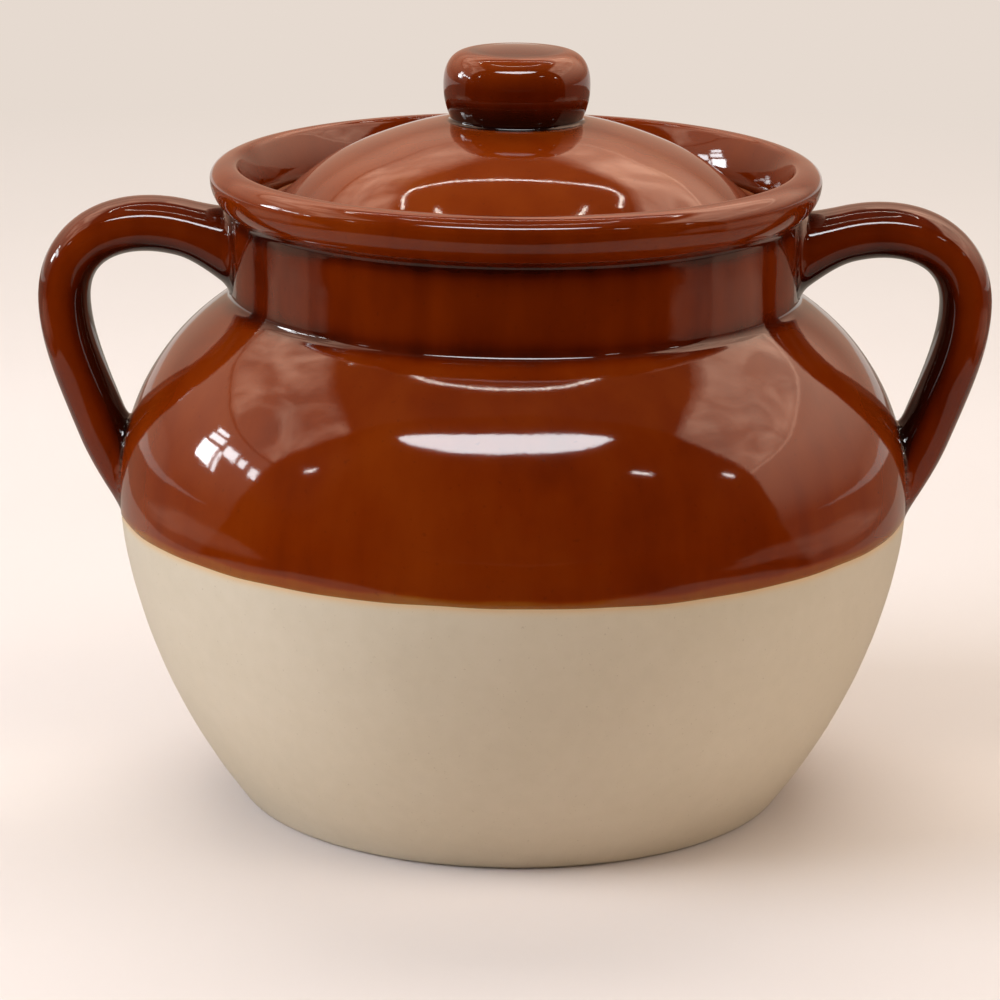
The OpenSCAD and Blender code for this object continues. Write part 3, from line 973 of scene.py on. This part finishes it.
# %% Put the sheets and the card in place
edge = squared(half_width=0.31, front=0.27, back=0.9)
far_edge = edge * 26
far_edge[[0, -1], 1] = edge[0, 1]
table = Finish("table_in_mirror", Base_Color=(0.34, 0.29, 0.24, 1), Roughness=1.0,
               Specular_IOR_Level=0.0)
ground_sheet("table_in_mirror", edge * [0, 1], edge, table.material)
# Painted reflection: the sheet beyond the table glows with the dim room that the glaze mirrors.
ground_sheet("beyond_table", edge, far_edge, far_glow_in_mirror())
add_card()

# %% [markdown]
# ## Soft light
#
# Six large soft lamps light the pot and the floor, as windows and bounced light do in a room. A
# bright world could do it in one, but each lamp can be made brighter or warmer by itself.

# %% Soft lamps
def area_lamp(name, place, width, height, power, tint):
    """A rectangular lamp that faces the middle of the pot."""
    lamp = bpy.data.objects.new(name, bpy.data.lights.new(name, "AREA"))
    lamp.data.shape, lamp.data.size, lamp.data.size_y = "RECTANGLE", width, height
    lamp.data.energy, lamp.data.color = power, tint
    aim = Vector((0, 0, 0.09)) - Vector(place)
    lamp.rotation_euler = aim.to_track_quat("-Z", "Y").to_euler()
    lamp.location = place
    lamp.visible_camera = lamp.visible_glossy = False
    bpy.context.collection.objects.link(lamp)

area_lamp("soft_top", (0.0, -0.55, 1.35), 1.2, 0.6, 7, (1, 0.90, 0.78))
area_lamp("soft_left", (-1.5, -0.4, 0.8), 1.1, 1.1, 28, (0.76, 0.85, 1.0))
area_lamp("soft_right", (1.6, -0.3, 0.7), 1.1, 1.1, 11, (1, 0.95, 0.93))
area_lamp("soft_front", (0.0, -2.2, 0.5), 1.0, 0.6, 1.8, (1, 0.84, 0.66))
area_lamp("soft_back", (0.0, 1.4, 2.2), 2.4, 1.4, 42, (1, 0.95, 0.92))
area_lamp("soft_room", (0.0, 0.0, 3.2), 9.0, 9.0, 58, (1, 0.94, 0.90))

# %% [markdown]
# ## The room, as the glaze mirrors it
#
# The rest of what the glaze mirrors is far away, so only its direction counts, and the world's
# shader draws it. A room built from boards would do as well, but it would shade the floor.

# %% World
def room():
    """What the glaze mirrors, by direction: darkness in front, warm walls beside the pot with a
    mottled curtain above, a paler wall behind, and a dim ceiling."""
    world = bpy.data.worlds.new("room")
    bpy.context.scene.world = world
    world.use_nodes = True
    nodes = Nodes(world.node_tree)
    place = nodes.add("ShaderNodeTexCoord", out="Generated")
    x, y, z = nodes.axes(place)
    folds = nodes.add("ShaderNodeTexNoise", Vector=place, Scale=4.0, Detail=5.0, Distortion=0.9)
    side = x.sign()
    beside = (y + 0.11 + side * 0.05 + (0.22 - side * 0.06) * z.at_least(0)).step(40)
    low_wall = (z + 0.02).step(2.4) * (side * 0.45 + 1.25) + 0.2
    seam = y * 0.16 + 0.42
    ceiling = (z + (y - 0.2) ** 2 * 0.4 - 0.80).step(30)
    curtain = (z - seam).step(30) * (folds - 0.40).at_least(0) * 8.0
    at_seam = (1 - (z - seam).size() * 100).at_least(0)
    streak = at_seam * (side * 1.5 + 0.6)
    behind = (y - 0.74).step(8)
    back_wall = (z - 0.33).step(8) * 0.55 + 0.62
    walls = (low_wall + curtain + streak).at_least(0.1) * (1 - behind) + back_wall * behind
    walls = walls * (1 - ceiling) + ceiling * 0.09
    horizon = (0.22 - z).step(8) * (y - 0.3).step(4) * 0.55
    level = (walls * beside).at_least(horizon) + 0.012
    mirrored = nodes.add("ShaderNodeBackground", Color=(*warm, 1), Strength=level)
    seen = nodes.add("ShaderNodeBackground", Color=backdrop)
    by_camera = nodes.add("ShaderNodeLightPath", out="Is Camera Ray")
    either = nodes.add("ShaderNodeMixShader", _0=by_camera, _1=mirrored, _2=seen)
    plug(world.node_tree.nodes["World Output"].inputs["Surface"], either)
    # The room lights nothing, and light is sought in it only along mirror rays.
    world.cycles_visibility.diffuse = False
    world.cycles.sampling_method = "NONE"

room()

# %% [markdown]
# ## The camera
#
# The picture was taken from a little under a metre away with a long lens, looking about fifteen
# degrees down. The camera could be turned by hand until it fits, but writing its three axes as
# vectors keeps every angle a named value.

# %% Camera
def add_camera(distance, height, lens, down, pan, roll):
    """A camera at (0, -distance, height) that looks `down` degrees, turned by pan and roll."""
    down, pan, roll = np.radians([down, pan, roll])
    ahead = np.array([-np.sin(pan) * np.cos(down), np.cos(pan) * np.cos(down), -np.sin(down)])
    level = np.array([np.cos(pan), np.sin(pan), 0])
    above = np.cross(level, ahead)
    right = np.cos(roll) * level + np.sin(roll) * above
    up = np.cross(right, ahead)
    camera = bpy.data.objects.new("camera", bpy.data.cameras.new("camera"))
    camera.data.lens, camera.data.sensor_width = lens, 36
    placed = np.eye(4)
    placed[:3] = np.stack([right, up, -ahead, [0, -distance, height]], 1)
    camera.matrix_world = Matrix(placed.tolist())
    bpy.context.collection.objects.link(camera)
    bpy.context.scene.camera = camera

add_camera(distance=0.950, height=0.3284, lens=145.25, down=15.15, pan=0.19, roll=0.5)
bpy.context.scene.view_settings.view_transform = "Standard"
